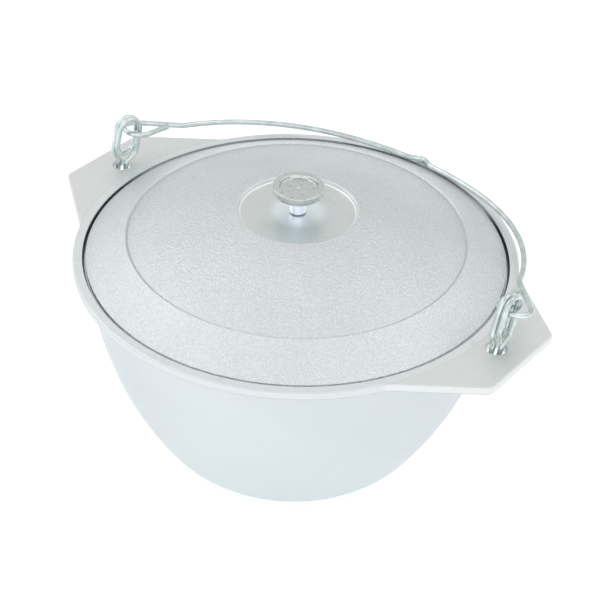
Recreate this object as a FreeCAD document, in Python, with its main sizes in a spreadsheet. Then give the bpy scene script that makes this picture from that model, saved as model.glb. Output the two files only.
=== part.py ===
import FreeCAD, Part
import math
import os
import Sketcher

# Cauldron of cast aluminium with two flat ears, a stepped lid with a turned knob, and a
# wire bail whose closed eyes are threaded through two coiled wire links.
# Millimetres, +Z up, origin at the centre of the flat base, ears along X.

SIZES = (
    # pot casting
    ("pot_height", 174.0),
    ("rim_radius", 160.0),
    ("rim_thickness", 6.0),
    ("rim_width", 6.8),
    ("rim_overhang", 10.1),
    ("seat_depth", 4.0),
    ("wall", 4.5),
    ("flank_radius", 292.0),
    ("corner_radius", 62.5),
    ("base_radius", 53.0),
    ("cove_radius", 4.5),
    ("casting_round", 1.0),
    # ears
    ("ear_length", 33.7),
    ("ear_half_width", 37.2),
    ("ear_side_angle", 37.5),
    ("ear_corner_radius", 7.0),
    ("ear_root_radius", 14.0),
    ("hole_setback", 21.7),
    ("hole_radius", 6.75),
    ("hole_chamfer", 0.8),
    # lid casting
    ("lid_clearance", 2.2),
    ("lid_edge_height", 3.5),
    ("lid_seat_width", 5.5),
    ("lid_wall", 3.5),
    ("band_width", 28.7),
    ("crest_height", 19.4),
    ("step_depth", 1.6),
    ("step_width", 1.4),
    ("dome_height", 40.0),
    ("recess_radius", 42.4),
    ("recess_depth", 2.7),
    ("recess_draft", 0.6),
    ("boss_width", 3.0),
    ("boss_thickness", 4.0),
    # knob, screw and washer
    ("knob_height", 22.0),
    ("knob_cap_radius", 18.4),
    ("knob_cap_height", 5.6),
    ("knob_foot_radius", 5.8),
    ("knob_neck_radius", 6.8),
    ("knob_flare_radius", 3.0),
    ("knob_dish_radius", 13.8),
    ("knob_dish_depth", 2.2),
    ("knob_dish_draft", 0.8),
    ("knob_mark_radius", 1.5),
    ("knob_edge_radius", 0.7),
    ("screw_radius", 3.0),
    ("screw_fit", 0.1),
    ("screw_grip", 11.0),
    ("screw_hole_clearance", 0.4),
    ("screw_head_radius", 5.6),
    ("screw_head_height", 3.4),
    ("screw_slot_width", 1.4),
    ("screw_slot_depth", 1.5),
    ("washer_radius", 8.5),
    ("washer_thickness", 1.5),
    # bail
    ("bail_wire_radius", 2.1),
    ("bail_axis_height", 25.0),
    ("bail_axis_offset", 8.0),
    ("bail_inset", 9.2),
    ("bail_crown_radius", 195.5),
    ("bail_side_radius", 147.0),
    ("kink_height", 5.6),
    ("kink_angle", 34.0),
    ("kink_crest_radius", 5.0),
    ("kink_foot_radius", 10.0),
    ("bend_radius", 14.0),
    ("flare_angle", 45.0),
    ("eye_radius", 11.0),
    ("eye_end_gap", 0.4),
    ("rest_clearance", 0.3),
    # links
    ("link_wire_radius", 2.0),
    ("link_half_width", 9.0),
    ("link_height", 29.2),
    ("link_neck", 12.8),
    ("link_bend_radius", 8.5),
    ("link_gap", 0.3),
    ("link_leg_offset", 1.9),
    ("link_tail", 8.0),
    ("link_tail_bend", 3.0),
    ("link_slack", 0.3),
    ("left_link_drop", 0.8),
    ("left_link_lean", 12.0),
    ("left_link_swivel", 14.0),
    ("left_link_outset", 1.0),
    ("left_link_offset", 0.6),
    ("right_link_drop", 1.2),
    ("right_link_lean", 20.0),
    ("right_link_swivel", 0.0),
    ("right_link_outset", 0.0),
    ("right_link_offset", -0.5),
)

UP = FreeCAD.Vector(0, 0, 1)

doc = FreeCAD.newDocument("kazan")
sheet = doc.addObject("Spreadsheet::Sheet", "Size")
for row, (alias, number) in enumerate(SIZES, start=1):
    sheet.set("A%d" % row, alias.replace("_", " "))
    sheet.set("B%d" % row, str(number))
    sheet.setAlias("B%d" % row, alias)
doc.recompute()

# Measures that several pieces share, as expressions over the sheet.

MOUTH_RADIUS = "(Size.rim_radius - Size.rim_width)"
WALL_TOP_RADIUS = "(Size.rim_radius - Size.rim_overhang)"
UNDER_RIM = "(Size.pot_height - Size.rim_thickness)"
SEAT_HEIGHT = "(Size.pot_height - Size.seat_depth)"
EAR_REACH = "(Size.rim_radius + Size.ear_length)"
HOLE_DISTANCE = "(%s - Size.hole_setback)" % EAR_REACH
LID_RADIUS = "(%s - Size.lid_clearance)" % MOUTH_RADIUS
CREST_RADIUS = "(%s - Size.band_width)" % LID_RADIUS
RECESS_FLOOR = "(Size.dome_height - Size.recess_depth)"
BOSS_FACE = "(%s - Size.boss_thickness)" % RECESS_FLOOR
SCREW_HOLE_RADIUS = "(Size.screw_radius + Size.screw_hole_clearance)"
CAP_UNDERSIDE = "(Size.knob_height - Size.knob_cap_height)"

# The folded bail comes down on the rim's flat: run and drop from its axis to that place.
BAIL_RUN = "(Size.rim_radius - Size.rim_width * 0.4 - Size.bail_axis_offset)"
BAIL_DROP = "(Size.bail_axis_height - Size.bail_wire_radius - Size.rest_clearance)"
BAIL_APEX = "sqrt(%s ^ 2 + %s ^ 2)" % (BAIL_RUN, BAIL_DROP)
BAIL_CROWN = "(%s - Size.kink_height)" % BAIL_APEX
BAIL_HALF_WIDTH = "(%s - Size.bail_inset)" % HOLE_DISTANCE


def size(expression):
    """Value of an expression over the sheet."""
    return float(sheet.evalExpression(expression))


def point(x, y):
    return FreeCAD.Vector(x, y, 0)


def new_body(label):
    body = doc.addObject("PartDesign::Body", label)
    body.Label = label
    return body


def new_sketch(body, name, role, lift=None):
    """Sketch on one of the body's origin planes, lifted off it by an expression."""
    sketch = body.newObject("Sketcher::SketchObject", name)
    plane = [feature for feature in body.Origin.OriginFeatures if feature.Role == role][0]
    sketch.AttachmentSupport = [(plane, "")]
    sketch.MapMode = "FlatFace"
    if lift:
        sketch.setExpression("AttachmentOffset.Base.z", lift)
    return sketch


def hold(sketch, kind, places, expression):
    """Adds a dimension and ties it to the sheet."""
    index = sketch.addConstraint(Sketcher.Constraint(kind, *places, size(expression)))
    sketch.setExpression("Constraints[%d]" % index, expression)


def pin(sketch, geometry, end, x, y):
    """Ties a point of the geometry to x and y; "0" puts it on that axis."""
    for value, kind, axis in ((x, "DistanceX", -2), (y, "DistanceY", -1)):
        if value == "0":
            sketch.addConstraint(Sketcher.Constraint("PointOnObject", geometry, end, axis))
        else:
            hold(sketch, kind, (-1, 1, geometry, end), value)


def add_line(sketch, start, end):
    return sketch.addGeometry(Part.LineSegment(point(*start), point(*end)), False)


def add_arc(sketch, centre, start, end, clockwise=False):
    """Arc round the centre from start to end; a clockwise one is stored end to start."""
    radius = math.dist(centre, start)
    first = math.atan2(start[1] - centre[1], start[0] - centre[0])
    last = math.atan2(end[1] - centre[1], end[0] - centre[0])
    if clockwise:
        first, last = last, first
    circle = Part.Circle(point(*centre), UP, radius)
    return sketch.addGeometry(Part.ArcOfCircle(circle, first, last), False)


def join(sketch, first, first_end, second, second_end, kind="Coincident"):
    sketch.addConstraint(Sketcher.Constraint(kind, first, first_end, second, second_end))


def polygon(sketch, corners, domes=()):
    """Closed outline through the corners; a side in domes is an arc about the V axis."""
    places = [(size(x), size(y)) for x, y in corners]
    sides = []
    for index, start in enumerate(places):
        end = places[(index + 1) % len(places)]
        if index in domes:
            drop = (start[0] ** 2 - end[0] ** 2) / (end[1] - start[1])
            centre = (0, (start[1] + end[1] - drop) / 2)
            outwards = end[0] > start[0]
            above = centre[1] > start[1]
            side = add_arc(sketch, centre, start, end, outwards != above)
            sketch.addConstraint(Sketcher.Constraint("PointOnObject", side, 3, -2))
            sides.append((side, 2, 1) if outwards != above else (side, 1, 2))
        else:
            sides.append((add_line(sketch, start, end), 1, 2))
    for index, (side, begin, end) in enumerate(sides):
        following = sides[(index + 1) % len(sides)]
        join(sketch, side, end, following[0], following[1])
        pin(sketch, side, begin, *corners[index])


def crossing(centre_a, radius_a, centre_b, radius_b):
    """Where two circles cross, on the left of the way from a to b."""
    span = math.dist(centre_a, centre_b)
    along = (span ** 2 + radius_a ** 2 - radius_b ** 2) / (2 * span)
    across = math.sqrt(radius_a ** 2 - along ** 2)
    dx = (centre_b[0] - centre_a[0]) / span
    dy = (centre_b[1] - centre_a[1]) / span
    return centre_a[0] + along * dx - across * dy, centre_a[1] + along * dy + across * dx


def touching(normal, offset, centre, distance, side):
    """The point on the line normal.p = offset, at a distance from the centre. The side
    is 1 or -1 along the line's direction, which is the normal turned right."""
    height = offset - normal[0] * centre[0] - normal[1] * centre[1]
    along = side * math.sqrt(distance ** 2 - height ** 2)
    x = centre[0] + height * normal[0] + along * normal[1]
    y = centre[1] + height * normal[1] - along * normal[0]
    return x, y


def outward(centre, towards, distance):
    """The point at a distance from the centre on the ray towards another point."""
    share = distance / math.dist(centre, towards)
    x = centre[0] + share * (towards[0] - centre[0])
    y = centre[1] + share * (towards[1] - centre[1])
    return x, y


def revolve(body, sketch, name):
    feature = body.newObject("PartDesign::Revolution", name)
    feature.Profile = sketch
    feature.ReferenceAxis = (sketch, ["V_Axis"])
    feature.Angle = 360
    sketch.Visibility = False
    doc.recompute()
    return feature


def dress(body, kind, name, expression, test):
    """Fillet or chamfer on the edges of the body's last feature that pass the test."""
    base = body.Tip
    edges = ["Edge%d" % (i + 1) for i, edge in enumerate(base.Shape.Edges) if test(edge)]
    feature = body.newObject("PartDesign::" + kind, name)
    feature.Base = (base, edges)
    feature.setExpression("Radius" if kind == "Fillet" else "Size", expression)
    doc.recompute()
    return feature


def ring(*places):
    """Test for the circular edges about Z at the given (radius, height) expressions."""
    wanted = [(size(radius), size(height)) for radius, height in places]

    def test(edge):
        if not isinstance(edge.Curve, Part.Circle):
            return False
        centre = edge.Curve.Center
        found = (edge.Curve.Radius, centre.z)
        on_axis = math.hypot(centre.x, centre.y) < 0.01
        return on_axis and any(math.dist(found, place) < 0.01 for place in wanted)

    return test


# Pot: one casting, machined on the rim's flat and in the lid seat, with two flat ears.

def add_wall(sketch, top, offset):
    """Flank arc and floor corner arc of the bowl, the offset inside the outer surface."""
    low = (size("Size.base_radius"), size("Size.corner_radius"))
    corner = low[1] - size(offset)
    flank = size("Size.flank_radius") - size(offset)
    place = (size(top[0]), size(top[1]))
    high = crossing(low, flank - corner, place, flank)
    meeting = outward(high, low, flank)
    bend = add_arc(sketch, low, (low[0], low[1] - corner), meeting)
    side = add_arc(sketch, high, meeting, place)
    join(sketch, bend, 2, side, 1, "Tangent")
    pin(sketch, bend, 3, "Size.base_radius", "Size.corner_radius")
    hold(sketch, "Radius", (bend,), "Size.corner_radius - %s" % offset)
    hold(sketch, "Radius", (side,), "Size.flank_radius - %s" % offset)
    pin(sketch, side, 2, *top)
    return bend, side


def pot_section(body):
    sketch = new_sketch(body, "pot_section", "XZ_Plane")
    outer_top = (WALL_TOP_RADIUS, UNDER_RIM)
    inner_top = ("%s - Size.wall" % WALL_TOP_RADIUS, SEAT_HEIGHT)
    outer_bend, outer_side = add_wall(sketch, outer_top, "0")
    inner_bend, inner_side = add_wall(sketch, inner_top, "Size.wall")
    corners = (
        outer_top,
        ("Size.rim_radius", UNDER_RIM),
        ("Size.rim_radius", "Size.pot_height"),
        (MOUTH_RADIUS, "Size.pot_height"),
        (MOUTH_RADIUS, SEAT_HEIGHT),
        inner_top,
    )
    places = [(size(x), size(y)) for x, y in corners]
    rim = [add_line(sketch, a, b) for a, b in zip(places, places[1:])]
    join(sketch, outer_side, 2, rim[0], 1)
    for index in range(1, len(rim)):
        join(sketch, rim[index - 1], 2, rim[index], 1)
        pin(sketch, rim[index], 1, *corners[index])
    join(sketch, rim[-1], 2, inner_side, 2)

    base = size("Size.base_radius")
    wall = size("Size.wall")
    floor = add_line(sketch, (base, wall), (0, wall))
    axis = add_line(sketch, (0, wall), (0, 0))
    bottom = add_line(sketch, (0, 0), (base, 0))
    join(sketch, inner_bend, 1, floor, 1)
    hold(sketch, "DistanceX", (-1, 1, floor, 1), "Size.base_radius")
    join(sketch, floor, 2, axis, 1)
    join(sketch, axis, 2, bottom, 1)
    join(sketch, bottom, 2, outer_bend, 1)
    hold(sketch, "DistanceX", (-1, 1, bottom, 2), "Size.base_radius")
    pin(sketch, axis, 1, "0", "Size.wall")
    pin(sketch, axis, 2, "0", "0")
    return sketch


def ear_outline(body):
    """Trapezoid that widens towards the bowl and ends on an arc inside the rim."""
    sketch = new_sketch(body, "ear_outline", "XY_Plane", "Size.pot_height")
    reach = size(EAR_REACH)
    half_width = size("Size.ear_half_width")
    slope = math.radians(size("Size.ear_side_angle"))
    inside = size("Size.rim_radius - Size.rim_width / 2")
    normal = (math.sin(slope), math.cos(slope))
    offset = normal[0] * reach + normal[1] * half_width
    root_x, root_y = touching(normal, offset, (0, 0), inside, 1)

    edge = add_line(sketch, (reach, -half_width), (reach, half_width))
    left = add_line(sketch, (reach, half_width), (root_x, root_y))
    right = add_line(sketch, (root_x, -root_y), (reach, -half_width))
    root = add_arc(sketch, (0, 0), (root_x, -root_y), (root_x, root_y))
    join(sketch, edge, 2, left, 1)
    join(sketch, edge, 1, right, 2)
    join(sketch, root, 2, left, 2)
    join(sketch, root, 1, right, 1)
    join(sketch, root, 3, -1, 1)
    pin(sketch, edge, 1, EAR_REACH, "-Size.ear_half_width")
    pin(sketch, edge, 2, EAR_REACH, "Size.ear_half_width")
    hold(sketch, "Angle", (left,), "180 deg - Size.ear_side_angle * 1 deg")
    hold(sketch, "Angle", (right,), "Size.ear_side_angle * 1 deg")
    hold(sketch, "Radius", (root,), "Size.rim_radius - Size.rim_width / 2")
    return sketch


def upright_at(edge, radius_low, radius_high):
    """True for an upright straight edge whose distance from Z lies in the range."""
    if not isinstance(edge.Curve, Part.Line):
        return False
    start = edge.Vertexes[0].Point
    end = edge.Vertexes[-1].Point
    upright = math.hypot(start.x - end.x, start.y - end.y) < 0.01
    return upright and radius_low < math.hypot(start.x, start.y) < radius_high


def outer_edge(edge):
    """True for the edges round the outside of the rim and the ears, top and bottom."""
    if edge.BoundBox.ZLength > 0.01:
        return False
    middle = edge.valueAt((edge.FirstParameter + edge.LastParameter) / 2)
    reach = math.hypot(middle.x, middle.y)
    at_rim = abs(middle.z - size("Size.pot_height")) < 0.01
    at_underside = abs(middle.z - size(UNDER_RIM)) < 0.01
    return (at_rim or at_underside) and reach > size("Size.rim_radius") - 0.1


def make_pot():
    body = new_body("pot")
    revolve(body, pot_section(body), "bowl")
    dress(body, "Fillet", "cove", "Size.cove_radius", ring((WALL_TOP_RADIUS, UNDER_RIM)))

    outline = ear_outline(body)
    ear = body.newObject("PartDesign::Pad", "ear")
    ear.Profile = outline
    ear.Reversed = True
    ear.setExpression("Length", "Size.rim_thickness")
    outline.Visibility = False
    doc.recompute()
    mirrored = body.newObject("PartDesign::Mirrored", "both_ears")
    mirrored.Originals = [ear]
    mirrored.MirrorPlane = (outline, ["V_Axis"])
    body.Tip = mirrored
    doc.recompute()

    rim = size("Size.rim_radius")
    reach = size(EAR_REACH)
    dress(body, "Fillet", "ear_roots", "Size.ear_root_radius",
          lambda edge: upright_at(edge, rim - 0.1, rim + 0.1))
    dress(body, "Fillet", "ear_corners", "Size.ear_corner_radius",
          lambda edge: upright_at(edge, reach - 0.1, reach * 1.2))
    dress(body, "Fillet", "rounded_outline", "Size.casting_round", outer_edge)
    seat_edge = ring(("%s - Size.wall" % WALL_TOP_RADIUS, SEAT_HEIGHT))
    dress(body, "Fillet", "seat_edge", "Size.casting_round", seat_edge)

    holes = new_sketch(body, "link_holes", "XY_Plane", "Size.pot_height")
    for sign in ("", "-"):
        centre = point(size(sign + HOLE_DISTANCE), 0)
        circle = holes.addGeometry(Part.Circle(centre, UP, size("Size.hole_radius")), False)
        pin(holes, circle, 3, sign + HOLE_DISTANCE, "0")
        hold(holes, "Radius", (circle,), "Size.hole_radius")
    before = body.Tip.Shape.Volume
    pocket = body.newObject("PartDesign::Pocket", "holes")
    pocket.Profile = holes
    pocket.setExpression("Length", "Size.rim_thickness")
    holes.Visibility = False
    doc.recompute()
    if pocket.Shape.Volume >= before:
        raise ValueError("the link holes cut nothing")

    hole_radius = size("Size.hole_radius")
    dress(body, "Chamfer", "hole_edges", "Size.hole_chamfer",
          lambda edge: isinstance(edge.Curve, Part.Circle)
          and abs(edge.Curve.Radius - hole_radius) < 0.01 and edge.BoundBox.ZLength < 0.01)
    return body


# Lid: one casting whose sloping band ends in a crest, with the dome a step lower inside it.

def make_lid():
    body = new_body("lid")
    section = new_sketch(body, "lid_section", "XZ_Plane")
    seat_radius = "(%s - Size.lid_seat_width)" % LID_RADIUS
    polygon(section, (
        (seat_radius, "0"),
        (LID_RADIUS, "0"),
        (LID_RADIUS, "Size.lid_edge_height"),
        (CREST_RADIUS, "Size.crest_height"),
        ("%s - Size.step_width" % CREST_RADIUS, "Size.crest_height - Size.step_depth"),
        ("Size.recess_radius", "Size.dome_height"),
        ("Size.recess_radius - Size.recess_draft", RECESS_FLOOR),
        (SCREW_HOLE_RADIUS, RECESS_FLOOR),
        (SCREW_HOLE_RADIUS, BOSS_FACE),
        ("Size.recess_radius", BOSS_FACE),
        ("Size.recess_radius + Size.boss_width", "Size.dome_height - Size.lid_wall"),
        (seat_radius, "Size.lid_edge_height / 2"),
    ), domes=(4, 10))
    revolve(body, section, "lid_casting")
    foot = ("%s - Size.step_width" % CREST_RADIUS, "Size.crest_height - Size.step_depth")
    dress(body, "Fillet", "step_foot", "Size.casting_round", ring(foot))
    crest = (CREST_RADIUS, "Size.crest_height")
    edge = (LID_RADIUS, "Size.lid_edge_height")
    recess = ("Size.recess_radius", "Size.dome_height")
    dress(body, "Fillet", "lid_edges", "Size.casting_round / 2", ring(crest, edge, recess))
    body.setExpression("Placement.Base.z", SEAT_HEIGHT)
    return body


# Knob: turned, with a waisted stem and a dished cap, held by a screw from under the lid.

def make_knob():
    body = new_body("lid_knob")
    section = new_sketch(body, "knob_section", "XZ_Plane")
    bore = "(Size.screw_radius + Size.screw_fit)"
    dish_floor = "(Size.knob_height - Size.knob_dish_depth)"
    polygon(section, (
        (bore, "0"),
        ("Size.knob_foot_radius", "0"),
        ("Size.knob_neck_radius", CAP_UNDERSIDE),
        ("Size.knob_cap_radius", CAP_UNDERSIDE),
        ("Size.knob_cap_radius", "Size.knob_height"),
        ("Size.knob_dish_radius", "Size.knob_height"),
        ("Size.knob_dish_radius - Size.knob_dish_draft", dish_floor),
        ("Size.knob_mark_radius", dish_floor),
        ("0", "%s - Size.knob_mark_radius / 2" % dish_floor),
        ("0", "Size.screw_grip + %s" % bore),
        (bore, "Size.screw_grip + %s / 2" % bore),
    ))
    revolve(body, section, "knob_turning")
    neck = ("Size.knob_neck_radius", CAP_UNDERSIDE)
    dress(body, "Fillet", "stem_flare", "Size.knob_flare_radius", ring(neck))
    rims = ring(
        ("Size.knob_cap_radius", CAP_UNDERSIDE),
        ("Size.knob_cap_radius", "Size.knob_height"),
        ("Size.knob_dish_radius", "Size.knob_height"),
        ("Size.knob_dish_radius - Size.knob_dish_draft", dish_floor),
    )
    dress(body, "Fillet", "cap_edges", "Size.knob_edge_radius", rims)
    body.setExpression("Placement.Base.z", "%s + %s" % (SEAT_HEIGHT, RECESS_FLOOR))
    return body


def make_screw():
    """Slotted pan head screw; its own origin is under the head, shank upwards."""
    body = new_body("knob_screw")
    section = new_sketch(body, "screw_section", "XZ_Plane")
    end = "(Size.washer_thickness + Size.boss_thickness + Size.screw_grip)"
    polygon(section, (
        ("0", "-Size.screw_head_height"),
        ("Size.screw_head_radius", "-Size.screw_head_height / 2"),
        ("Size.screw_head_radius", "0"),
        ("Size.screw_radius", "0"),
        ("Size.screw_radius", "%s - Size.screw_radius / 3" % end),
        ("Size.screw_radius * 2 / 3", end),
        ("0", end),
    ), domes=(0,))
    revolve(body, section, "screw_turning")
    slot = new_sketch(body, "slot_outline", "XY_Plane", "-Size.screw_head_height")
    reach = "Size.screw_head_radius * 1.2"
    polygon(slot, (
        ("-" + reach, "-Size.screw_slot_width / 2"),
        (reach, "-Size.screw_slot_width / 2"),
        (reach, "Size.screw_slot_width / 2"),
        ("-" + reach, "Size.screw_slot_width / 2"),
    ))
    before = body.Tip.Shape.Volume
    pocket = body.newObject("PartDesign::Pocket", "slot")
    pocket.Profile = slot
    pocket.Reversed = True
    pocket.setExpression("Length", "Size.screw_slot_depth")
    slot.Visibility = False
    doc.recompute()
    if pocket.Shape.Volume >= before:
        raise ValueError("the screw slot cuts nothing")
    height = "%s + %s - Size.washer_thickness" % (SEAT_HEIGHT, BOSS_FACE)
    body.setExpression("Placement.Base.z", height)
    return body


def make_washer():
    disc = doc.addObject("Part::Cylinder", "washer_disc")
    disc.setExpression("Radius", "Size.washer_radius")
    disc.setExpression("Height", "Size.washer_thickness")
    bore = doc.addObject("Part::Cylinder", "washer_bore")
    bore.setExpression("Radius", SCREW_HOLE_RADIUS)
    bore.setExpression("Height", "Size.washer_thickness")
    washer = doc.addObject("Part::Cut", "knob_washer")
    washer.Label = "knob_washer"
    washer.Base = disc
    washer.Tool = bore
    height = "%s + %s - Size.washer_thickness" % (SEAT_HEIGHT, BOSS_FACE)
    washer.setExpression("Placement.Base.z", height)
    return washer


# Bail: one wire in one plane. Its own X axis is the line that it swings about and its Y
# axis points to the crown. Each end runs out in a flare, turns back through a closed eye
# round the axis and stops just short of the flare.

def moved(start, direction, distance):
    return start[0] + distance * direction[0], start[1] + distance * direction[1]


def bail_path(body):
    """Half of the bail's centre line, from the crown's kink to the free end."""
    sketch = new_sketch(body, "bail_path", "XY_Plane")
    apex = size(BAIL_APEX)
    crest = size("Size.kink_crest_radius")
    foot = size("Size.kink_foot_radius")
    crown = size("Size.bail_crown_radius")
    side = size("Size.bail_side_radius")
    bend = size("Size.bend_radius")
    eye = size("Size.eye_radius")
    kink = math.radians(size("Size.kink_angle"))
    flare = math.radians(size("Size.flare_angle"))

    slope = (math.sin(kink), math.cos(kink))
    outlet = (math.sin(flare), math.cos(flare))
    crest_centre = (0, apex - crest)
    crown_centre = (0, size(BAIL_CROWN) - crown)
    side_x = size(BAIL_HALF_WIDTH) - side
    side_centre = (side_x, crown_centre[1] + math.sqrt((crown - side) ** 2 - side_x ** 2))
    eye_centre = (size(HOLE_DISTANCE), eye)
    slope_offset = slope[1] * crest_centre[1] + crest + foot
    foot_centre = touching(slope, slope_offset, crown_centre, crown + foot, -1)
    outlet_offset = outlet[0] * eye_centre[0] + outlet[1] * eye_centre[1] + eye + bend
    bend_centre = touching(outlet, outlet_offset, side_centre, side + bend, 1)
    free_x = eye_centre[0] - eye
    inner_x = free_x + size("Size.bail_wire_radius")
    inner_offset = outlet_offset - bend - size("Size.bail_wire_radius + Size.eye_end_gap")
    free_y = (inner_offset - outlet[0] * inner_x) / outlet[1]

    places = (
        (0, apex),
        moved(crest_centre, slope, crest),
        moved(foot_centre, slope, -foot),
        outward(crown_centre, foot_centre, crown),
        outward(crown_centre, side_centre, crown),
        outward(side_centre, bend_centre, side),
        moved(bend_centre, outlet, -bend),
        moved(eye_centre, outlet, eye),
        (free_x, eye_centre[1]),
        (free_x, free_y),
    )
    centres = (crest_centre, None, foot_centre, crown_centre, side_centre,
               bend_centre, None, eye_centre, None)
    turns_left = (foot_centre, bend_centre)
    parts = []
    for start, end, centre in zip(places, places[1:], centres):
        if centre is None:
            parts.append((add_line(sketch, start, end), 1, 2))
        elif centre in turns_left:
            parts.append((add_arc(sketch, centre, start, end), 1, 2))
        else:
            parts.append((add_arc(sketch, centre, start, end, clockwise=True), 2, 1))
    for before, after in zip(parts, parts[1:]):
        join(sketch, before[0], before[2], after[0], after[1], "Tangent")

    radii = {0: "kink_crest_radius", 2: "kink_foot_radius", 3: "bail_crown_radius",
             4: "bail_side_radius", 5: "bend_radius", 7: "eye_radius"}
    for index, alias in radii.items():
        hold(sketch, "Radius", (parts[index][0],), "Size." + alias)
    pin(sketch, parts[0][0], parts[0][1], "0", BAIL_APEX)
    sketch.addConstraint(Sketcher.Constraint("PointOnObject", parts[0][0], 3, -2))
    pin(sketch, parts[3][0], 3, "0", "%s - Size.bail_crown_radius" % BAIL_CROWN)
    hold(sketch, "DistanceX", (-1, 1, parts[4][0], 3),
         "%s - Size.bail_side_radius" % BAIL_HALF_WIDTH)
    pin(sketch, parts[7][0], 3, HOLE_DISTANCE, "Size.eye_radius")
    for index, alias in ((1, "kink_angle"), (6, "flare_angle")):
        hold(sketch, "Angle", (parts[index][0],), "-Size.%s * 1 deg" % alias)
    sketch.addConstraint(Sketcher.Constraint("Vertical", parts[8][0]))
    return sketch, len(parts)


def make_bail():
    body = new_body("bail")
    path, count = bail_path(body)
    section = new_sketch(body, "bail_section", "YZ_Plane")
    start = point(size(BAIL_APEX), 0)
    circle = section.addGeometry(Part.Circle(start, UP, size("Size.bail_wire_radius")), False)
    pin(section, circle, 3, BAIL_APEX, "0")
    hold(section, "Radius", (circle,), "Size.bail_wire_radius")
    doc.recompute()
    half = body.newObject("PartDesign::AdditivePipe", "half_wire")
    half.Profile = section
    half.Spine = (path, ["Edge%d" % (i + 1) for i in range(count)])
    path.Visibility = False
    section.Visibility = False
    doc.recompute()
    mirrored = body.newObject("PartDesign::Mirrored", "whole_wire")
    mirrored.Originals = [half]
    mirrored.MirrorPlane = (path, ["V_Axis"])
    body.Tip = mirrored
    tilt = "-atan2(%s; %s)" % (BAIL_DROP, BAIL_RUN)
    place = "vector(0; Size.bail_axis_offset; Size.pot_height + Size.bail_axis_height)"
    body.setExpression("Placement", "placement(%s; rotation(0; 0; %s))" % (place, tilt))
    doc.recompute()
    return body


# Links: each is one wire, wound in two long turns, with both ends down through the ear's
# hole and bent apart under it. Its own origin is in the middle of the hole.

def rounded_wire(corners, radii):
    """Straight runs through the corners, joined by tangent arcs of the given radii."""
    edges = []
    reached = corners[0]
    for before, corner, after, radius in zip(corners, corners[1:], corners[2:], radii):
        back = (before - corner).normalize()
        on = (after - corner).normalize()
        half_turn = (math.pi - back.getAngle(on)) / 2
        reach = radius * math.tan(half_turn)
        start = corner + back * reach
        end = corner + on * reach
        sag = radius / math.cos(half_turn) - radius
        middle = corner + (back + on).normalize() * sag
        edges.append(Part.LineSegment(reached, start).toShape())
        edges.append(Part.Arc(start, middle, end).toShape())
        reached = end
    edges.append(Part.LineSegment(reached, corners[-1]).toShape())
    return Part.Wire(edges)


def link_corners():
    """Corners of the centre line; its second half is the first turned round by 180."""
    wire = size("Size.link_wire_radius")
    layer = wire + size("Size.link_gap") / 2
    leg = size("Size.link_leg_offset")
    half_width = size("Size.link_half_width")
    tail_depth = size("Size.rim_thickness / 2 + Size.link_slack") + wire
    bottom = size("Size.link_neck")
    top = bottom + size("Size.link_height")
    shoulder = bottom - 2 * wire - size("Size.link_gap")
    elbow = shoulder - wire
    half = (
        (leg, -layer - size("Size.link_tail"), -tail_depth),
        (leg, -layer, -tail_depth),
        (leg, -layer, elbow),
        (half_width, -layer, elbow + half_width - leg),
        (half_width, -layer, top),
        (-half_width, -layer, top),
        (-half_width, -layer, bottom),
    )
    first = [FreeCAD.Vector(*corner) for corner in half]
    second = [FreeCAD.Vector(-corner.x, -corner.y, corner.z) for corner in reversed(first)]
    return first + second


def make_link(label, sign):
    """A link hangs loose in its hole, so each has its own lean, swivel and shift."""
    tail_bend = size("Size.link_tail_bend")
    turn = size("Size.link_bend_radius")
    radii = [tail_bend, tail_bend, tail_bend, turn, turn, turn]
    corners = link_corners()
    path = doc.addObject("Part::Feature", label + "_path")
    path.Shape = rounded_wire(corners, radii + radii[::-1])
    section = doc.addObject("Part::Circle", label + "_section")
    section.setExpression("Radius", "Size.link_wire_radius")
    across = FreeCAD.Rotation(UP, corners[1] - corners[0])
    section.Placement = FreeCAD.Placement(corners[0], across)
    link = doc.addObject("Part::Sweep", label)
    link.Label = label
    link.Sections = [section]
    link.Spine = (path, ["Edge%d" % (i + 1) for i in range(len(path.Shape.Edges))])
    link.Solid = True
    own = "Size.%s_" % label
    across = "%s(%s + %soutset)" % (sign, HOLE_DISTANCE, own)
    height = "Size.pot_height - Size.rim_thickness / 2 - %sdrop" % own
    place = "vector(%s; %soffset; %s)" % (across, own, height)
    turned = "rotation(90 - %sswivel; %slean; 0)" % (own, own)
    link.setExpression("Placement", "placement(%s; %s)" % (place, turned))
    return link


pieces = [
    make_pot(),
    make_lid(),
    make_knob(),
    make_screw(),
    make_washer(),
    make_bail(),
    make_link("left_link", "-"),
    make_link("right_link", ""),
]
doc.recompute()

for item in doc.Objects:
    if "Invalid" in item.State or "Error" in item.State:
        raise ValueError("%s failed to build" % item.Label)
for piece in pieces:
    shape = piece.Shape
    if shape.isNull() or not shape.isValid() or len(shape.Solids) != 1:
        raise ValueError("%s is not one valid solid" % piece.Label)

os.makedirs("parts", exist_ok=True)
for piece in pieces:
    piece.Shape.exportStep("parts/%s.step" % piece.Label)
    print("%s %.0f mm3" % (piece.Label, piece.Shape.Volume))
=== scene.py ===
"""Dresses the cauldron: cast, turned and zinc plated finishes, a studio and the photograph's camera."""

import math

import bmesh
import bpy
from mathutils import Matrix, Vector

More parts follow.
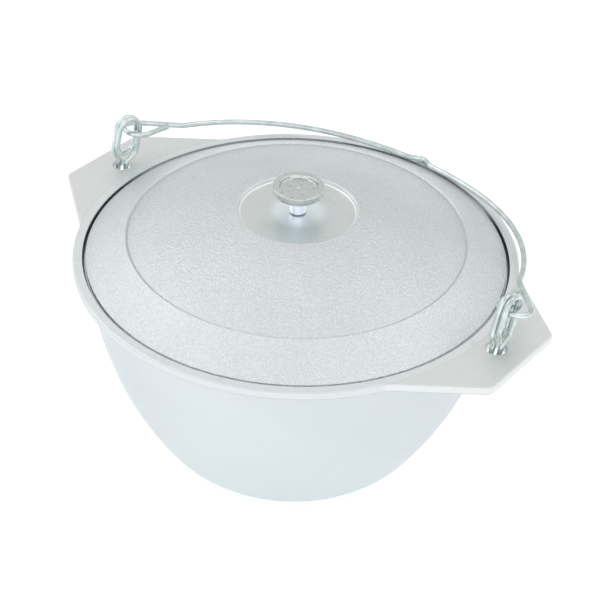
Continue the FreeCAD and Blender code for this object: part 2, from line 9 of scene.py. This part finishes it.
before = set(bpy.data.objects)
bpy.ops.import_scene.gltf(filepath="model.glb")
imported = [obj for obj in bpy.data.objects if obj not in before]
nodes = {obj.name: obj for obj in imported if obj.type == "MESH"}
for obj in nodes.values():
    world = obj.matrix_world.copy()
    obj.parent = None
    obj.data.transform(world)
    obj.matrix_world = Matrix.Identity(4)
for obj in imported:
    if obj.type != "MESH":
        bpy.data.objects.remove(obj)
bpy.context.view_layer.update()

# The photograph's camera, as seen from the middle of the rim.
CAMERA_AZIMUTH = math.radians(37.4638)
CAMERA_ELEVATION = math.radians(36.9423)
CAMERA_ROLL = math.radians(2.22136)
CAMERA_DISTANCE = 1.226473
CAMERA_RIGHT = 0.002538
CAMERA_UP = -0.035940
CAMERA_LENS = 102.3635
CAMERA_SENSOR = 36.0

# Level directions as the camera sees them: to its right, and towards it.
SIDEWAYS = (math.cos(CAMERA_AZIMUTH), math.sin(CAMERA_AZIMUTH), 0.0)
FORWARDS = (math.sin(CAMERA_AZIMUTH), -math.cos(CAMERA_AZIMUTH), 0.0)

# Radii and heights of the pieces, in metres.
RIM_TOP = 0.174
RIM_BOTTOM = 0.168
RIM_RADIUS = 0.160
MOUTH_RADIUS = 0.1532
SEAT_FLOOR = 0.170
LID_RADIUS = 0.151
STEP_RADIUS = 0.1208
RECESS_RADIUS = 0.0424
WALL_RADIUS = RECESS_RADIUS - 0.0006
# Radius of the painted reflection of the knob in the recess.
KNOB_REFLECTION_RADIUS = 0.020
DISH_RADIUS = 0.0138
KNOB_FOOT = 0.2074
CAP_UNDERSIDE = 0.2238

# Where a finish ends on one side: the height or radius with none of it, and the one where it is full.
TURNED_BELOW = (RIM_TOP - 0.0055, RIM_TOP - 0.0045)
TURNED_OUTSIDE = (RIM_RADIUS - 0.0002, RIM_RADIUS - 0.0008)
EAR_BELOW = (RIM_TOP - 0.0072, RIM_TOP - 0.0066)
EAR_INSIDE = (RIM_RADIUS - 0.0006, RIM_RADIUS + 0.0006)
EDGE_INSIDE = (RIM_RADIUS - 0.0012, RIM_RADIUS - 0.0008)
EDGE_BELOW = (RIM_BOTTOM + 0.0001, RIM_BOTTOM + 0.0004)
EDGE_ABOVE = (RIM_BOTTOM + 0.0012, RIM_BOTTOM + 0.0005)
SEAT_ABOVE = (RIM_TOP - 0.0006, RIM_TOP - 0.0016)
SEAT_BELOW = (SEAT_FLOOR - 0.0012, SEAT_FLOOR - 0.0006)
SEAT_INSIDE = (LID_RADIUS + 0.0003, LID_RADIUS + 0.0009)
SEAT_OUTSIDE = (MOUTH_RADIUS + 0.0006, MOUTH_RADIUS + 0.0002)
BAND_INSIDE = (STEP_RADIUS - 0.0004, STEP_RADIUS + 0.0004)
RECESS_OUTSIDE = (RECESS_RADIUS + 0.0004, RECESS_RADIUS - 0.0004)
KNOB_REFLECTION_OUTSIDE = (KNOB_REFLECTION_RADIUS + 0.003, KNOB_REFLECTION_RADIUS - 0.006)
DISH_OUTSIDE = (DISH_RADIUS, DISH_RADIUS - 0.0004)
STEM_ABOVE = (CAP_UNDERSIDE + 0.0002, CAP_UNDERSIDE - 0.0002)
SEAM_ABOVE = (KNOB_FOOT + 0.0014, KNOB_FOOT + 0.0006)

# From where to where the relief of the recess's wall rises.
RECESS_SLOPE = (RECESS_RADIUS - 0.0018, RECESS_RADIUS + 0.0010)

# Where a thin ring ends, as the distance from its middle.
STEP_WIDTH = (0.0008, 0.0003)
WALL_WIDTH = (0.0015, 0.0009)

# Where the painted shade in the seat's gap begins towards each ear, on the camera's left and right, as a
# share of the lid's radius.
SEAT_SHADE_LEFT = (-0.72, -0.92)
SEAT_SHADE_RIGHT = (0.90, 0.98)

# Bare metals as they reflect, and light and shade painted on them, in linear colour.
CAST_LIGHT = (0.75, 0.79, 0.80, 1.0)
CAST_DARK = (0.715, 0.755, 0.77, 1.0)
EAR_LIGHT = (0.88, 0.89, 0.88, 1.0)
EAR_DARK = (0.78, 0.79, 0.78, 1.0)
EDGE_SHADE = (0.50, 0.53, 0.54, 1.0)
TURNED_LIGHT = (0.86, 0.885, 0.885, 1.0)
TURNED_DARK = (0.78, 0.81, 0.81, 1.0)
# Painted shade in the lid's seat towards the ears, and a pale colour that lightens the gap's shade
# elsewhere.
SEAT_PAINTED_SHADE = (0.10, 0.11, 0.115, 1.0)
SEAT_LIGHTENED = (0.93, 0.95, 0.95, 1.0)
LID_LIGHT = (0.88, 0.91, 0.92, 1.0)
LID_DARK = (0.685, 0.715, 0.72, 1.0)
STEP_SHADE = (0.60, 0.62, 0.63, 1.0)
RECESS_LIGHT = (0.75, 0.78, 0.775, 1.0)
RECESS_DARK = (0.71, 0.74, 0.735, 1.0)
# Painted reflection: the knob's bluish gleam on the recess round its foot.
RECESS_KNOB_REFLECTION = (0.91, 0.96, 0.99, 1.0)
# Painted highlight: a bright ring on the recess's wall.
RECESS_WALL_HIGHLIGHT = (0.97, 0.98, 0.98, 1.0)
KNOB_LIGHT = (0.68, 0.71, 0.705, 1.0)
KNOB_DARK = (0.48, 0.49, 0.48, 1.0)
# Painted light: a lighter, bluish colour on the knob's stem below its cap.
KNOB_STEM_PAINTED_LIGHT = (0.86, 0.91, 0.95, 1.0)
KNOB_SEAM = (0.20, 0.23, 0.25, 1.0)
ZINC_LIGHT = (0.77, 0.835, 0.82, 1.0)
ZINC_DARK = (0.60, 0.67, 0.655, 1.0)

# Light colour on the ears: what full speckle adds, and what is there without it.
EAR_SPECKLE = (0.6, 0.2)

# How strong the shade under the rim's edge is.
EDGE_STRENGTH = 0.8

# Light colour on the lid: painted shade on the dome and painted light on the band, and what clouds and
# speckle add.
DOME_SHADE_AND_BAND_LIGHT = (-0.06, 0.11)
LID_CLOUDINESS = 0.15
LID_SPECKLE = 0.70

# Roughness: what a full mask adds, and the plain value.
BOWL_ROUGH = (0.03, 0.50)
EAR_ROUGH = 0.46
RIM_ROUGH = 0.36
LID_ROUGH = (-0.10, 0.43)
RECESS_ROUGH = (0.03, 0.35)
KNOB_ROUGH = (0.06, 0.12)
WIRE_ROUGH = (0.10, 0.2)
HARDWARE_ROUGH = (0.10, 0.3)

# Sizes of clouds, sand grains and lathe rings on each finish, in metres.
POT_CLOUDS, POT_GRAIN, RIM_PITCH = 0.11, 0.0008, 0.0005
LID_CLOUDS, LID_GRAIN, RECESS_PITCH = 0.05, 0.0011, 0.0006
KNOB_CLOUDS, KNOB_PITCH, DISH_PITCH = 0.012, 0.0003, 0.0011
WIRE_CLOUDS, WIRE_GRAIN = 0.008, 0.0006

# Depths of relief, in metres.
BOWL_RELIEF = 0.00001
EAR_RELIEF = 0.00006
RIM_RELIEF = 0.00001
LID_RELIEF = 0.0005
WALL_RELIEF = 0.0012
RECESS_RELIEF = 0.000006
KNOB_RELIEF = 0.000003
DISH_RELIEF = 0.00002
WIRE_RELIEF = 0.00001

# The part of a noise over which each mask of the shared effects rises.
SPARKLE = (0.38, 0.70)
CLOUD = (0.3, 0.7)
SMUDGE = (0.52, 0.7)

# How the layers of the shared effects are scaled and weighed against each other.
PIT_SCALE = 0.6
PIT_HEIGHT = 0.5
RING_WANDER = 0.3
GROOVE_HEIGHT = 0.5
SMUDGE_SCALE = 3.7

# The light tent, in linear light, and how much of it metal sees as white.
TENT_LOW = (0.671, 0.686, 0.686, 1.0)
TENT_HIGH = (0.70, 0.714, 0.714, 1.0)
TENT_BACK = (0.586, 0.607, 0.60, 1.0)
TENT_WINDOW = (1.143, 1.186, 1.243, 1.0)
TENT_SHINE = 0.3
WHITE = (1.0, 1.0, 1.0, 1.0)

# Where the tent changes, by the height of a direction and by how far it faces the camera.
TENT_RISE = (0.0, 0.9)
WINDOW_SIDE = (0.30, 0.75)
WINDOW_TOP = (0.95, 0.75)
BACK_SIDE = (-0.30, -0.75)
BACK_TOP = (0.70, 0.40)

# The floor's half width in metres, its paint, and the glow that lifts it to white.
FLOOR_REACH = 6.0
FLOOR_DARK = (0.86, 0.86, 0.86, 1.0)
FLOOR_LIGHT = (0.88, 0.88, 0.88, 1.0)
FLOOR_ROUGH = 0.9
FLOOR_SEEN = 0.42
FLOOR_SHINE = 0.345

# Soft boxes: place and size in metres, and power in watts, and the point that they face.
LAMP_TARGET = (0.0, 0.0, 0.12)
LAMPS = {
    "left": ((-1.21, -0.25, 1.47), (1.5, 1.3), 3.8),
    "right": ((0.64, 0.94, 1.77), (1.4, 1.4), 3.0),
}


class Tree:
    """A node tree with short ways to add nodes and join them."""

    def __init__(self, tree):
        self.tree = tree

    def plug(self, socket, value):
        """Joins a socket to an input, or sets the input to a plain value."""
        if isinstance(value, bpy.types.NodeSocket):
            self.tree.links.new(value, socket)
        else:
            socket.default_value = value

    def put(self, node, name, value):
        """Plugs a value into the input of that name which the node uses."""
        self.plug(next(s for s in node.inputs if s.name == name and s.enabled), value)

    def add(self, kind, settings=None, **values):
        """Adds a node. Values are numbers, colours or sockets, named with _ for a space."""
        node = self.tree.nodes.new(kind)
        for key, value in (settings or {}).items():
            setattr(node, key, value)
        for key, value in values.items():
            self.put(node, key.replace("_", " "), value)
        return node

    def math(self, operation, *values):
        """A Math node on numbers or sockets."""
        node = self.add("ShaderNodeMath", {"operation": operation})
        for socket, value in zip(node.inputs, values):
            self.plug(socket, value)
        return node.outputs[0]

    def vector(self, operation, *values):
        """A Vector Math node on vectors or sockets. Gives its outputs."""
        node = self.add("ShaderNodeVectorMath", {"operation": operation})
        for socket, value in zip(node.inputs, values):
            self.plug(socket, value)
        return node.outputs

    def height(self, place):
        """The height of a place."""
        return self.add("ShaderNodeSeparateXYZ", Vector=place).outputs["Z"]

    def both(self, first, second):
        """Where two masks overlap."""
        return self.math("MULTIPLY", first, second)

    def rest(self, mask):
        """Where a mask is not."""
        return self.math("SUBTRACT", 1.0, mask)

    def vary(self, mask, gain, plain):
        """A plain value that changes by a gain where the mask is."""
        return self.math("MULTIPLY_ADD", mask, gain, plain)

    def ramp(self, value, low, high, low_to=0.0, high_to=1.0):
        """A smooth step of a value from low to high."""
        node = self.add("ShaderNodeMapRange", {"interpolation_type": "SMOOTHSTEP"}, Value=value,
                        From_Min=low, From_Max=high, To_Min=low_to, To_Max=high_to)
        return node.outputs["Result"]

    def ring(self, radius, middle, fade):
        """A thin ring on both sides of a radius."""
        return self.ramp(self.math("ABSOLUTE", self.math("SUBTRACT", radius, middle)), *fade)

    def blend(self, kind, inputs, output, values):
        """A Mix node, with the places of the sockets that its kind of data uses."""
        node = self.add("ShaderNodeMix", {"data_type": kind})
        for index, value in zip(inputs, values):
            self.plug(node.inputs[index], value)
        return node.outputs[output]

    def mix(self, share, first, second):
        """A blend of two numbers."""
        return self.blend("FLOAT", (0, 2, 3), 0, (share, first, second))

    def mix_colour(self, share, first, second):
        """A blend of two colours."""
        return self.blend("RGBA", (0, 6, 7), 2, (share, first, second))


def new_group(name, numbers, outputs):
    """A node group that takes coordinates and numbers. Gives its tree, inputs and outputs."""
    group = bpy.data.node_groups.new(name, "ShaderNodeTree")
    group.interface.new_socket("Place", in_out="INPUT", socket_type="NodeSocketVector")
    for key, value in numbers.items():
        socket = group.interface.new_socket(key, in_out="INPUT", socket_type="NodeSocketFloat")
        socket.default_value = value
    for key in outputs:
        group.interface.new_socket(key, in_out="OUTPUT", socket_type="NodeSocketFloat")
    taken = group.nodes.new("NodeGroupInput").outputs
    given = group.nodes.new("NodeGroupOutput").inputs
    return Tree(group), taken, given


def make_cast_grain():
    """Sand grains of a casting: soft pits and bumps, with a mask of the bright ones."""
    tree, taken, given = new_group("cast_grain", {"Grain": LID_GRAIN}, ("Height", "Sparkle"))
    scale = tree.math("DIVIDE", 1.0, taken["Grain"])
    fine = tree.add("ShaderNodeTexNoise", Vector=taken["Place"], Scale=scale,
                    Detail=4.0, Roughness=0.6).outputs["Fac"]
    pits = tree.add("ShaderNodeTexVoronoi", {"feature": "SMOOTH_F1"}, Vector=taken["Place"],
                    Scale=tree.math("MULTIPLY", scale, PIT_SCALE), Smoothness=0.6).outputs["Distance"]
    tree.plug(given["Height"], tree.vary(pits, PIT_HEIGHT, fine))
    tree.plug(given["Sparkle"], tree.ramp(fine, *SPARKLE))
    return tree.tree


def make_turned_lines():
    """Fine rings that a lathe tool leaves round the vertical axis."""
    inputs = {"Pitch": RECESS_PITCH, "Wander": RING_WANDER}
    tree, taken, given = new_group("turned_lines", inputs, ("Height", "Radius"))
    flat = tree.vector("MULTIPLY", taken["Place"], (1.0, 1.0, 0.0))["Vector"]
    radius = tree.vector("LENGTH", flat)["Value"]
    turns = tree.math("DIVIDE", radius, taken["Pitch"])
    uneven = tree.add("ShaderNodeTexNoise", {"noise_dimensions": "1D"}, W=turns,
                      Scale=0.37, Detail=3.0).outputs["Fac"]
    drift = tree.math("MULTIPLY", uneven, taken["Wander"])
    groove = tree.math("SINE", tree.math("MULTIPLY", tree.math("ADD", turns, drift), 2 * math.pi))
    tree.plug(given["Height"], tree.vary(groove, GROOVE_HEIGHT, uneven))
    tree.plug(given["Radius"], radius)
    return tree.tree


def make_handling():
    """Broad, faint clouds and small smudges that use leaves on metal."""
    tree, taken, given = new_group("handling", {"Size": LID_CLOUDS}, ("Cloud", "Smudge"))
    scale = tree.math("DIVIDE", 1.0, taken["Size"])
    cloud = tree.add("ShaderNodeTexNoise", Vector=taken["Place"], Scale=scale,
                     Detail=3.0, Roughness=0.5).outputs["Fac"]
    smudge = tree.add("ShaderNodeTexNoise", Vector=taken["Place"],
                      Scale=tree.math("MULTIPLY", scale, SMUDGE_SCALE),
                      Detail=5.0, Roughness=0.62, Distortion=0.6).outputs["Fac"]
    tree.plug(given["Cloud"], tree.ramp(cloud, *CLOUD))
    tree.plug(given["Smudge"], tree.ramp(smudge, *SMUDGE))
    return tree.tree


CAST_GRAIN = make_cast_grain()
TURNED_LINES = make_turned_lines()
HANDLING = make_handling()


def new_finish(name, metallic=1.0):
    """A material with its shader. Gives the material, its tree, its shader and its coordinates."""
    material = bpy.data.materials.new(name)
    material.use_nodes = True
    tree = Tree(material.node_tree)
    shader = material.node_tree.nodes["Principled BSDF"]
    shader.inputs["Metallic"].default_value = metallic
    place = tree.add("ShaderNodeTexCoord").outputs["Object"]
    return material, tree, shader, place


def use(tree, group, place, **numbers):
    """Places a shared effect in a material. Gives its outputs."""
    return tree.add("ShaderNodeGroup", {"node_tree": group}, Place=place, **numbers).outputs


def bump(tree, shader, *layers):
    """Adds layers of relief, each a height and a depth in metres, one over the other."""
    below = None
    for height, depth in layers:
        node = tree.add("ShaderNodeBump", Height=height, Distance=depth, Strength=1.0)
        if below is not None:
            tree.put(node, "Normal", below)
        below = node.outputs["Normal"]
    tree.put(shader, "Normal", below)


def in_seat(tree, place, height, radius):
    """Where the lid's seat is bare, and its colour: painted shade in the gap towards the ears, on the
    camera's left and right, and a pale colour that lightens the gap elsewhere.
    """
    level = tree.both(tree.ramp(height, *SEAT_ABOVE), tree.ramp(height, *SEAT_BELOW))
    gap = tree.both(tree.ramp(radius, *SEAT_INSIDE), tree.ramp(radius, *SEAT_OUTSIDE))
    share = tree.math("DIVIDE", tree.vector("DOT_PRODUCT", place, SIDEWAYS)["Value"], LID_RADIUS)
    painted_shade = tree.math("ADD", tree.ramp(share, *SEAT_SHADE_LEFT), tree.ramp(share, *SEAT_SHADE_RIGHT))
    return tree.both(level, gap), tree.mix_colour(painted_shade, SEAT_LIGHTENED, SEAT_PAINTED_SHADE)


def pot_finish():
    """Smooth cast bowl, plain sand cast ears and a turned rim with a shaded lower edge."""
    material, tree, shader, place = new_finish("pot_cast")
    handling = use(tree, HANDLING, place, Size=POT_CLOUDS)
    grain = use(tree, CAST_GRAIN, place, Grain=POT_GRAIN)
    lines = use(tree, TURNED_LINES, place, Pitch=RIM_PITCH)
    radius = lines["Radius"]
    height = tree.height(place)
    rim = tree.both(tree.ramp(height, *TURNED_BELOW), tree.ramp(radius, *TURNED_OUTSIDE))
    ear = tree.both(tree.ramp(height, *EAR_BELOW), tree.ramp(radius, *EAR_INSIDE))
    edge = tree.both(tree.ramp(radius, *EDGE_INSIDE), tree.ramp(height, *EDGE_BELOW))
    edge = tree.both(edge, tree.ramp(height, *EDGE_ABOVE))
    bowl = tree.mix_colour(handling["Cloud"], CAST_DARK, CAST_LIGHT)
    flat = tree.mix_colour(tree.vary(grain["Sparkle"], *EAR_SPECKLE), EAR_DARK, EAR_LIGHT)
    turned = tree.mix_colour(handling["Smudge"], TURNED_LIGHT, TURNED_DARK)
    colour = tree.mix_colour(rim, tree.mix_colour(ear, bowl, flat), turned)
    colour = tree.mix_colour(tree.math("MULTIPLY", edge, EDGE_STRENGTH), colour, EDGE_SHADE)
    # Painted shade in the gap round the lid: dark towards the ears, lightened elsewhere.
    seat, seat_colour = in_seat(tree, place, height, radius)
    tree.put(shader, "Base Color", tree.mix_colour(seat, colour, seat_colour))
    bowl_rough = tree.vary(handling["Smudge"], *BOWL_ROUGH)
    tree.put(shader, "Roughness", tree.mix(rim, tree.mix(ear, bowl_rough, EAR_ROUGH), RIM_ROUGH))
    cast_relief = tree.math("MULTIPLY", tree.rest(rim), tree.mix(ear, BOWL_RELIEF, EAR_RELIEF))
    bump(tree, shader,
         (grain["Height"], cast_relief),
         (lines["Height"], tree.math("MULTIPLY", rim, RIM_RELIEF)))
    return material


def lid_finish():
    """Sand cast, with a shaded step, a band painted lighter than the dome, and a turned recess round the
    knob with a painted highlight on its wall and a painted reflection of the knob.
    """
    material, tree, shader, place = new_finish("lid_cast")
    handling = use(tree, HANDLING, place, Size=LID_CLOUDS)
    grain = use(tree, CAST_GRAIN, place, Grain=LID_GRAIN)
    lines = use(tree, TURNED_LINES, place, Pitch=RECESS_PITCH)
    radius = lines["Radius"]
    recess = tree.ramp(radius, *RECESS_OUTSIDE)
    # Painted light and shade: the band outside the step lighter, the dome darker.
    light = tree.vary(handling["Cloud"], LID_CLOUDINESS, tree.ramp(radius, *BAND_INSIDE, *DOME_SHADE_AND_BAND_LIGHT))
    light = tree.vary(grain["Sparkle"], LID_SPECKLE, light)
    cast = tree.mix_colour(light, LID_DARK, LID_LIGHT)
    cast = tree.mix_colour(tree.ring(radius, STEP_RADIUS, STEP_WIDTH), cast, STEP_SHADE)
    turned = tree.mix_colour(handling["Smudge"], RECESS_LIGHT, RECESS_DARK)
    # Painted reflection: the knob's bluish gleam on the recess round its foot.
    turned = tree.mix_colour(tree.ramp(radius, *KNOB_REFLECTION_OUTSIDE), turned, RECESS_KNOB_REFLECTION)
    colour = tree.mix_colour(recess, cast, turned)
    # Painted highlight: a bright ring on the recess's wall.
    colour = tree.mix_colour(tree.ring(radius, WALL_RADIUS, WALL_WIDTH), colour, RECESS_WALL_HIGHLIGHT)
    tree.put(shader, "Base Color", colour)
    cast_rough = tree.vary(grain["Sparkle"], *LID_ROUGH)
    turned_rough = tree.vary(handling["Cloud"], *RECESS_ROUGH)
    tree.put(shader, "Roughness", tree.mix(recess, cast_rough, turned_rough))
    bump(tree, shader,
         (tree.ramp(radius, *RECESS_SLOPE), WALL_RELIEF),
         (grain["Height"], tree.math("MULTIPLY", tree.rest(recess), LID_RELIEF)),
         (lines["Height"], tree.math("MULTIPLY", recess, RECESS_RELIEF)))
    return material


def knob_finish():
    """Bright turned metal with fine tool rings, coarser in the dish, painted light on the stem below the
    cap, and a dark seam at its foot.
    """
    material, tree, shader, place = new_finish("knob_turned")
    handling = use(tree, HANDLING, place, Size=KNOB_CLOUDS)
    fine = use(tree, TURNED_LINES, place, Pitch=KNOB_PITCH)
    coarse = use(tree, TURNED_LINES, place, Pitch=DISH_PITCH)
    height = tree.height(place)
    dish = tree.ramp(coarse["Radius"], *DISH_OUTSIDE)
    cap = tree.mix_colour(handling["Smudge"], KNOB_LIGHT, KNOB_DARK)
    # Painted light: the stem below the cap is lighter and bluer than the cap.
    bright = tree.mix_colour(tree.ramp(height, *STEM_ABOVE), cap, KNOB_STEM_PAINTED_LIGHT)
    tree.put(shader, "Base Color", tree.mix_colour(tree.ramp(height, *SEAM_ABOVE), bright, KNOB_SEAM))
    tree.put(shader, "Roughness", tree.vary(handling["Cloud"], *KNOB_ROUGH))
    bump(tree, shader,
         (fine["Height"], KNOB_RELIEF),
         (coarse["Height"], tree.math("MULTIPLY", dish, DISH_RELIEF)))
    return material


def zinc_finish(name, rough):
    """Bright zinc plate over drawn wire."""
    material, tree, shader, place = new_finish(name)
    handling = use(tree, HANDLING, place, Size=WIRE_CLOUDS)
    grain = use(tree, CAST_GRAIN, place, Grain=WIRE_GRAIN)
    tree.put(shader, "Base Color", tree.mix_colour(handling["Cloud"], ZINC_DARK, ZINC_LIGHT))
    tree.put(shader, "Roughness", tree.vary(handling["Smudge"], *rough))
    bump(tree, shader, (grain["Height"], WIRE_RELIEF))
    return material


def dress(finish, *names):
    """Gives CAD nodes a finish on their own slots."""
    for name in names:
        for slot in nodes[name].material_slots:
            slot.material = finish


def make_world():
    """A pale tent with a bright window in front. White to the camera, and partly white in metal."""
    world = bpy.data.worlds.new("studio")
    world.use_nodes = True
    world.node_tree.nodes.clear()
    tree = Tree(world.node_tree)
    direction = tree.add("ShaderNodeTexCoord").outputs["Generated"]
    height = tree.height(direction)
    facing = tree.vector("DOT_PRODUCT", direction, FORWARDS)["Value"]
    window = tree.both(tree.ramp(facing, *WINDOW_SIDE), tree.ramp(height, *WINDOW_TOP))
    behind = tree.both(tree.ramp(facing, *BACK_SIDE), tree.ramp(height, *BACK_TOP))
    tent = tree.mix_colour(tree.ramp(height, *TENT_RISE), TENT_LOW, TENT_HIGH)
    tent = tree.mix_colour(behind, tent, TENT_BACK)
    path = tree.add("ShaderNodeLightPath").outputs
    lit = tree.add("ShaderNodeBackground", Color=tree.mix_colour(window, tent, TENT_WINDOW))
    seen = tree.add("ShaderNodeBackground", Color=WHITE)
    clear = tree.math("MAXIMUM", path["Is Camera Ray"], path["Is Transmission Ray"])
    joined = tree.add("ShaderNodeMixShader")
    values = (tree.vary(path["Is Glossy Ray"], TENT_SHINE, clear), lit.outputs[0], seen.outputs[0])
    for socket, value in zip(joined.inputs, values):
        tree.plug(socket, value)
    tree.add("ShaderNodeOutputWorld", Surface=joined.outputs[0])
    bpy.context.scene.world = world


def make_floor():
    """A pale floor that keeps the shadow, and reads white to the camera and in metal."""
    mesh = bpy.data.meshes.new("floor")
    sheet = bmesh.new()
    bmesh.ops.create_grid(sheet, x_segments=1, y_segments=1, size=FLOOR_REACH)
    sheet.to_mesh(mesh)
    sheet.free()
    floor = bpy.data.objects.new("floor", mesh)
    bpy.context.scene.collection.objects.link(floor)
    material, tree, shader, place = new_finish("floor_paint", 0.0)
    clouds = tree.add("ShaderNodeTexNoise", Vector=place, Scale=2.0, Detail=2.0).outputs["Fac"]
    tree.put(shader, "Base Color", tree.mix_colour(clouds, FLOOR_DARK, FLOOR_LIGHT))
    tree.put(shader, "Roughness", FLOOR_ROUGH)
    path = tree.add("ShaderNodeLightPath").outputs
    in_metal = tree.math("MULTIPLY", path["Is Glossy Ray"], FLOOR_SHINE)
    tree.put(shader, "Emission Color", WHITE)
    tree.put(shader, "Emission Strength", tree.vary(path["Is Camera Ray"], FLOOR_SEEN, in_metal))
    mesh.materials.append(material)


def soft_lamp(name, place, size, power):
    """A soft box that faces the pot's belly."""
    lamp = bpy.data.lights.new(name, "AREA")
    lamp.shape = "RECTANGLE"
    lamp.size, lamp.size_y = size
    lamp.energy = power
    box = bpy.data.objects.new(name, lamp)
    box.location = place
    box.rotation_euler = (Vector(LAMP_TARGET) - Vector(place)).to_track_quat("-Z", "Y").to_euler()
    bpy.context.scene.collection.objects.link(box)


def make_camera():
    """The photograph's camera, found from the rim, the ears and the base."""
    rise, roll = CAMERA_ELEVATION, CAMERA_ROLL
    back = Vector((FORWARDS[0] * math.cos(rise), FORWARDS[1] * math.cos(rise), math.sin(rise)))
    level = Vector(SIDEWAYS)
    upright = back.cross(level)
    right = math.cos(roll) * level + math.sin(roll) * upright
    up = -math.sin(roll) * level + math.cos(roll) * upright
    place = back * CAMERA_DISTANCE + right * CAMERA_RIGHT + up * CAMERA_UP + Vector((0.0, 0.0, RIM_TOP))
    lens = bpy.data.cameras.new("camera")
    lens.lens = CAMERA_LENS
    lens.sensor_width = CAMERA_SENSOR
    camera = bpy.data.objects.new("camera", lens)
    camera.matrix_world = Matrix.Translation(place) @ Matrix((right, up, back)).transposed().to_4x4()
    bpy.context.scene.collection.objects.link(camera)
    bpy.context.scene.camera = camera


dress(pot_finish(), "pot")
dress(lid_finish(), "lid")
dress(knob_finish(), "lid_knob")
dress(zinc_finish("wire_zinc", WIRE_ROUGH), "bail", "left_link", "right_link")
dress(zinc_finish("hardware_zinc", HARDWARE_ROUGH), "knob_screw", "knob_washer")

make_world()
make_floor()
for lamp_name, settings in LAMPS.items():
    soft_lamp(lamp_name, *settings)
make_camera()

scene = bpy.context.scene
scene.view_settings.view_transform = "Standard"
